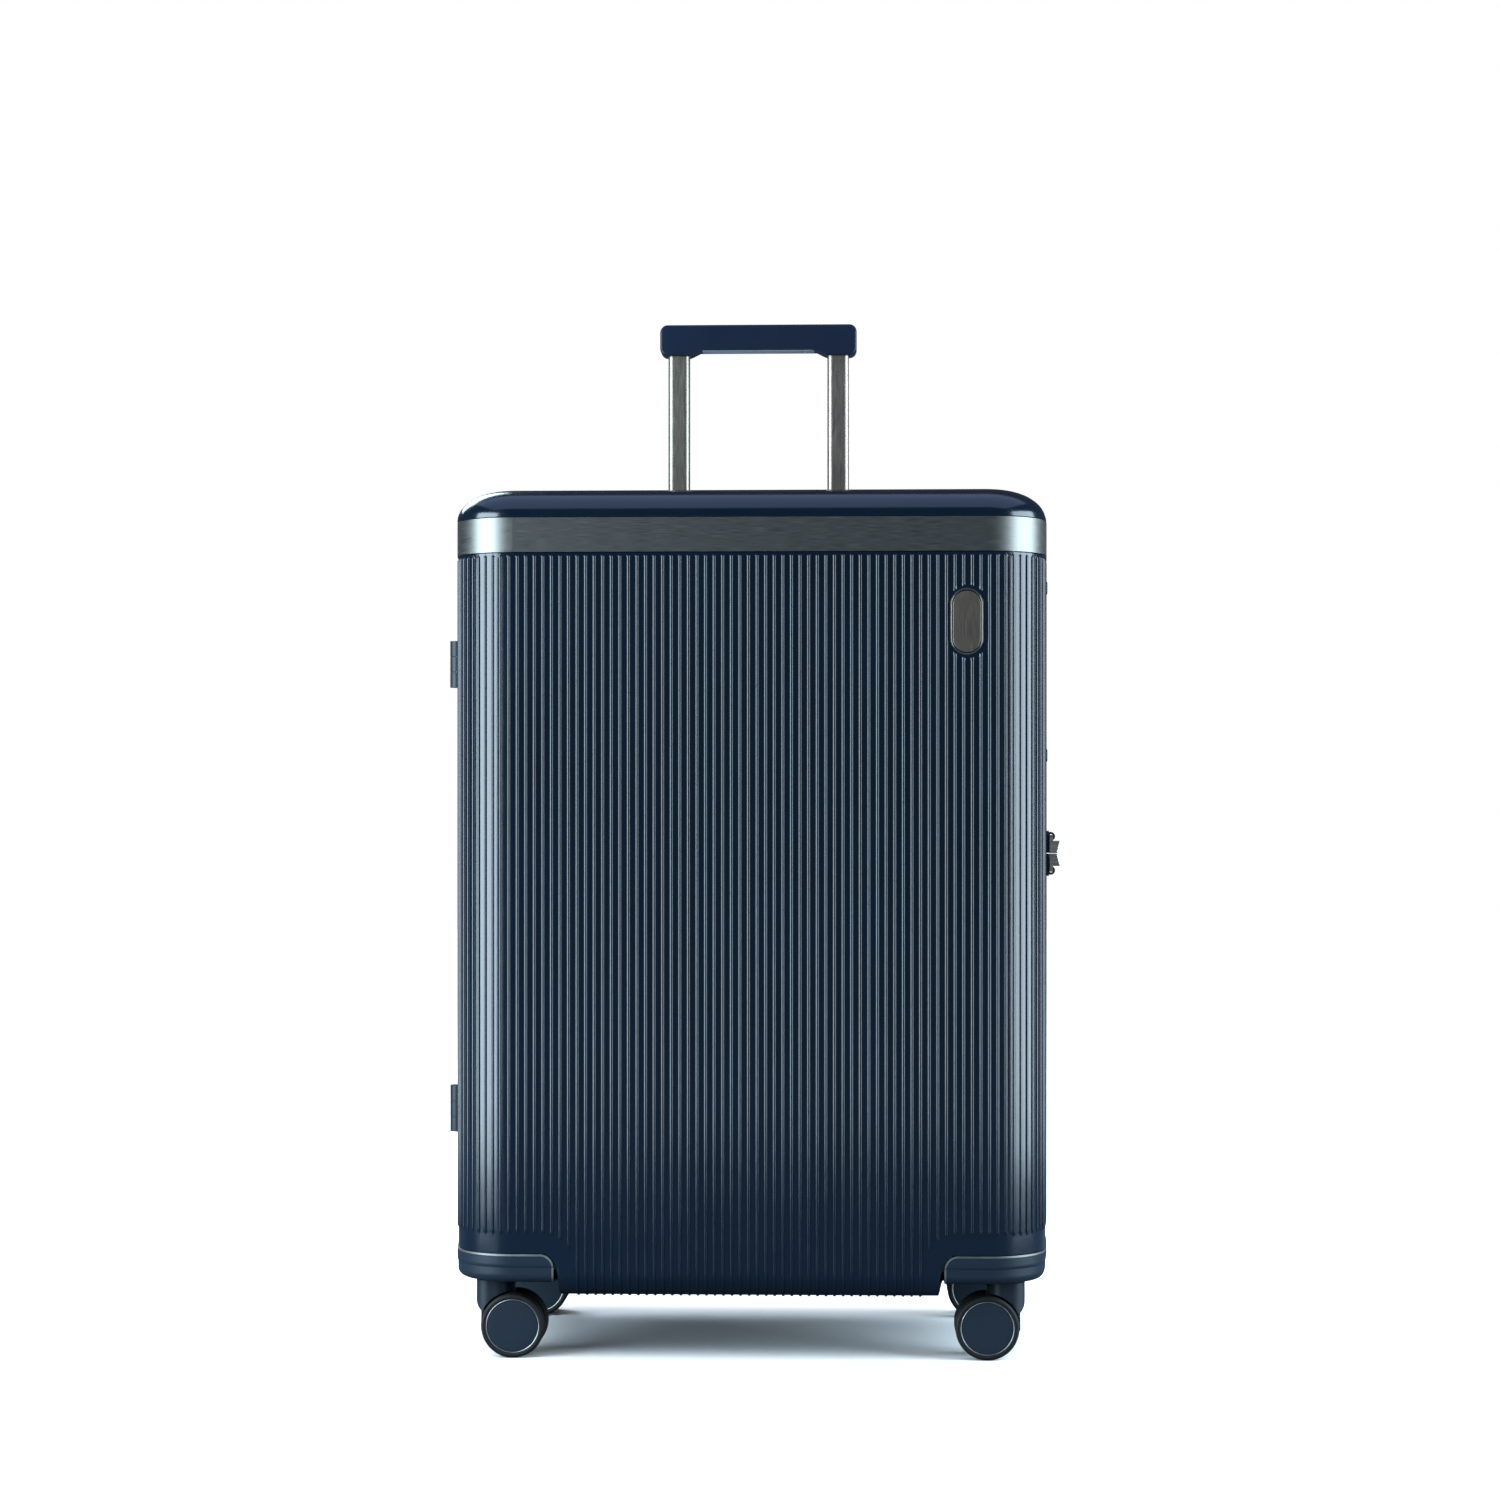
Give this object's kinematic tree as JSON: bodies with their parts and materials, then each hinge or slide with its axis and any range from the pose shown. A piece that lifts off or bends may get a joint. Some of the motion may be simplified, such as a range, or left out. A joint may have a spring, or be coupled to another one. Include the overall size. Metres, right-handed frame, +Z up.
{
  "type": "hard shell suitcase",
  "caption": "Rolling hard shell suitcase with ribbed sides, metal band, corner guards, pull-out handle, zipper with lock, carry handles and swivelling double casters.",
  "frame": {"origin": "on the floor, under the middle of the closed case", "axes": "+Z up, front face towards -Y, +X to the right as seen from the front"},
  "size_m": [0.551, 0.3, 0.9304],
  "materials": {
    "shell_navy": "satin moulded polycarbonate, vertically ribbed",
    "guard_navy": "fine-grained moulded plastic",
    "band_metal": "satin anodised, brushed lengthwise",
    "trim_metal": "satin",
    "handle_metal": "satin anodised champagne grey",
    "grip_navy": "soft satin",
    "grip_light": "satin",
    "black_plastic": "satin",
    "slate_plastic": "satin",
    "hub_navy": "satin with a turned pale ring",
    "tyre": "matte polyurethane",
    "steel": "plated",
    "tab_metal": "satin champagne",
    "badge_metal": "satin, blank",
    "zipper_black": "woven tape with coil teeth",
    "lining_fabric": "woven polyester",
    "divider_fabric": "woven polyester with mesh pocket",
    "webbing": "woven webbing"
  },
  "bodies": {
    "rear_case": {"rear_shell": "shell_navy", "rear_band": "band_metal", "rear_guards": "guard_navy", "rear_guard_trims": "trim_metal", "rear_lining": "lining_fabric", "rear_zipper_tape": "zipper_black", "rear_caster_mounts": "black_plastic", "rear_hinge_leaves": "slate_plastic", "hinge_pins": "steel", "handle_bezel": "guard_navy", "handle_channels": "steel", "channel_bracket": "black_plastic", "lock_body": "slate_plastic", "top_handle_lugs": "guard_navy", "side_handle_lugs": "guard_navy", "compression_straps": "webbing", "strap_buckle": "black_plastic"},
    "front_case": {"front_shell": "shell_navy", "front_band": "band_metal", "front_guards": "guard_navy", "front_guard_trims": "trim_metal", "front_lining": "lining_fabric", "front_zipper_tape": "zipper_black", "front_caster_mounts": "black_plastic", "front_hinge_leaves": "slate_plastic", "badge_plate": "badge_metal", "divider_panel": "divider_fabric"},
    "handle": {"handle_grip": "grip_navy", "grip_insert": "grip_light", "handle_tubes": "handle_metal", "grip_screws": "steel", "tube_feet": "black_plastic"},
    "push_button": {"push_button": "grip_navy", "push_rods": "steel"},
    "top_carry_handle": {"top_carry_handle": "guard_navy"},
    "side_carry_handle": {"side_carry_handle": "guard_navy"},
    "upper_slider": {"upper_slider": "black_plastic"},
    "lower_slider": {"lower_slider": "black_plastic"},
    "upper_pull_tab": {"upper_pull_tab": "tab_metal"},
    "lower_pull_tab": {"lower_pull_tab": "tab_metal"},
    "lock_button": {"lock_button": "black_plastic"},
    "lock_dial_1": {"lock_dial_1": "steel"},
    "lock_dial_2": {"lock_dial_2": "steel"},
    "lock_dial_3": {"lock_dial_3": "steel"},
    "front_left_caster": {"front_left_fork": "slate_plastic", "front_left_pins": "steel"},
    "front_left_wheels": {"front_left_hubs": "hub_navy", "front_left_tyres": "tyre"},
    "front_right_caster": {"front_right_fork": "slate_plastic", "front_right_pins": "steel"},
    "front_right_wheels": {"front_right_hubs": "hub_navy", "front_right_tyres": "tyre"},
    "rear_left_caster": {"rear_left_fork": "slate_plastic", "rear_left_pins": "steel"},
    "rear_left_wheels": {"rear_left_hubs": "hub_navy", "rear_left_tyres": "tyre"},
    "rear_right_caster": {"rear_right_fork": "slate_plastic", "rear_right_pins": "steel"},
    "rear_right_wheels": {"rear_right_hubs": "hub_navy", "rear_right_tyres": "tyre"}
  },
  "joints": [
    {"name": "case_opening", "type": "hinge", "parent": "rear_case", "child": "front_case", "pos_m": [-0.269, 0, 0.404], "axis": [0, 0, -1], "range_deg": [0, 180]},
    {"name": "handle_slide", "type": "slide", "parent": "rear_case", "child": "handle", "axis": [0, 0, 1], "range_m": [-0.176, 0.12]},
    {"name": "button_press", "type": "slide", "parent": "handle", "child": "push_button", "axis": [0, 0, -1], "range_m": [0, 0.003], "stiffness_N_per_m": 900, "springref_m": -0.004},
    {"name": "top_handle_swing", "type": "hinge", "parent": "rear_case", "child": "top_carry_handle", "pos_m": [0, 0.038, 0.7565], "axis": [1, 0, 0], "range_deg": [0, 90], "stiffness_Nm_per_rad": 0.05, "springref_deg": -34.38},
    {"name": "side_handle_swing", "type": "hinge", "parent": "rear_case", "child": "side_carry_handle", "pos_m": [0.2637, 0.056, 0.6], "axis": [0, 0, -1], "range_deg": [0, 90], "stiffness_Nm_per_rad": 0.05, "springref_deg": -34.38},
    {"name": "upper_zip", "type": "slide", "parent": "rear_case", "child": "upper_slider", "axis": [0, 0, 1], "range_m": [0, 0.22]},
    {"name": "lower_zip", "type": "slide", "parent": "rear_case", "child": "lower_slider", "axis": [0, 0, -1], "range_m": [0, 0.3]},
    {"name": "upper_tab_swing", "type": "hinge", "parent": "upper_slider", "child": "upper_pull_tab", "pos_m": [0.2674, 0, 0.4493], "axis": [0, -1, 0], "range_deg": [0, 110]},
    {"name": "lower_tab_swing", "type": "hinge", "parent": "lower_slider", "child": "lower_pull_tab", "pos_m": [0.2674, 0, 0.4187], "axis": [0, 1, 0], "range_deg": [0, 110]},
    {"name": "lock_button_press", "type": "slide", "parent": "rear_case", "child": "lock_button", "axis": [-1, 0, 0], "range_m": [0, 0.002], "stiffness_N_per_m": 400, "springref_m": -0.002},
    {"name": "lock_dial_1_turn", "type": "hinge", "parent": "rear_case", "child": "lock_dial_1", "pos_m": [0.2534, 0.0285, 0.391], "axis": [0, 0, 1], "continuous": true},
    {"name": "lock_dial_2_turn", "type": "hinge", "parent": "rear_case", "child": "lock_dial_2", "pos_m": [0.2534, 0.0285, 0.4], "axis": [0, 0, 1], "continuous": true},
    {"name": "lock_dial_3_turn", "type": "hinge", "parent": "rear_case", "child": "lock_dial_3", "pos_m": [0.2534, 0.0285, 0.409], "axis": [0, 0, 1], "continuous": true},
    {"name": "front_left_swivel", "type": "hinge", "parent": "front_case", "child": "front_left_caster", "pos_m": [-0.221, -0.108, 0.07], "axis": [0, 0, 1], "continuous": true},
    {"name": "front_left_roll", "type": "hinge", "parent": "front_left_caster", "child": "front_left_wheels", "pos_m": [-0.2045, -0.108, 0.0275], "axis": [0, 1, 0], "continuous": true},
    {"name": "front_right_swivel", "type": "hinge", "parent": "front_case", "child": "front_right_caster", "pos_m": [0.221, -0.108, 0.07], "axis": [0, 0, 1], "continuous": true},
    {"name": "front_right_roll", "type": "hinge", "parent": "front_right_caster", "child": "front_right_wheels", "pos_m": [0.2045, -0.108, 0.0275], "axis": [0, 1, 0], "continuous": true},
    {"name": "rear_left_swivel", "type": "hinge", "parent": "rear_case", "child": "rear_left_caster", "pos_m": [-0.221, 0.108, 0.07], "axis": [0, 0, 1], "continuous": true},
    {"name": "rear_left_roll", "type": "hinge", "parent": "rear_left_caster", "child": "rear_left_wheels", "pos_m": [-0.2045, 0.108, 0.0275], "axis": [0, 1, 0], "continuous": true},
    {"name": "rear_right_swivel", "type": "hinge", "parent": "rear_case", "child": "rear_right_caster", "pos_m": [0.221, 0.108, 0.07], "axis": [0, 0, 1], "continuous": true},
    {"name": "rear_right_roll", "type": "hinge", "parent": "rear_right_caster", "child": "rear_right_wheels", "pos_m": [0.2045, 0.108, 0.0275], "axis": [0, 1, 0], "continuous": true}
  ]
}
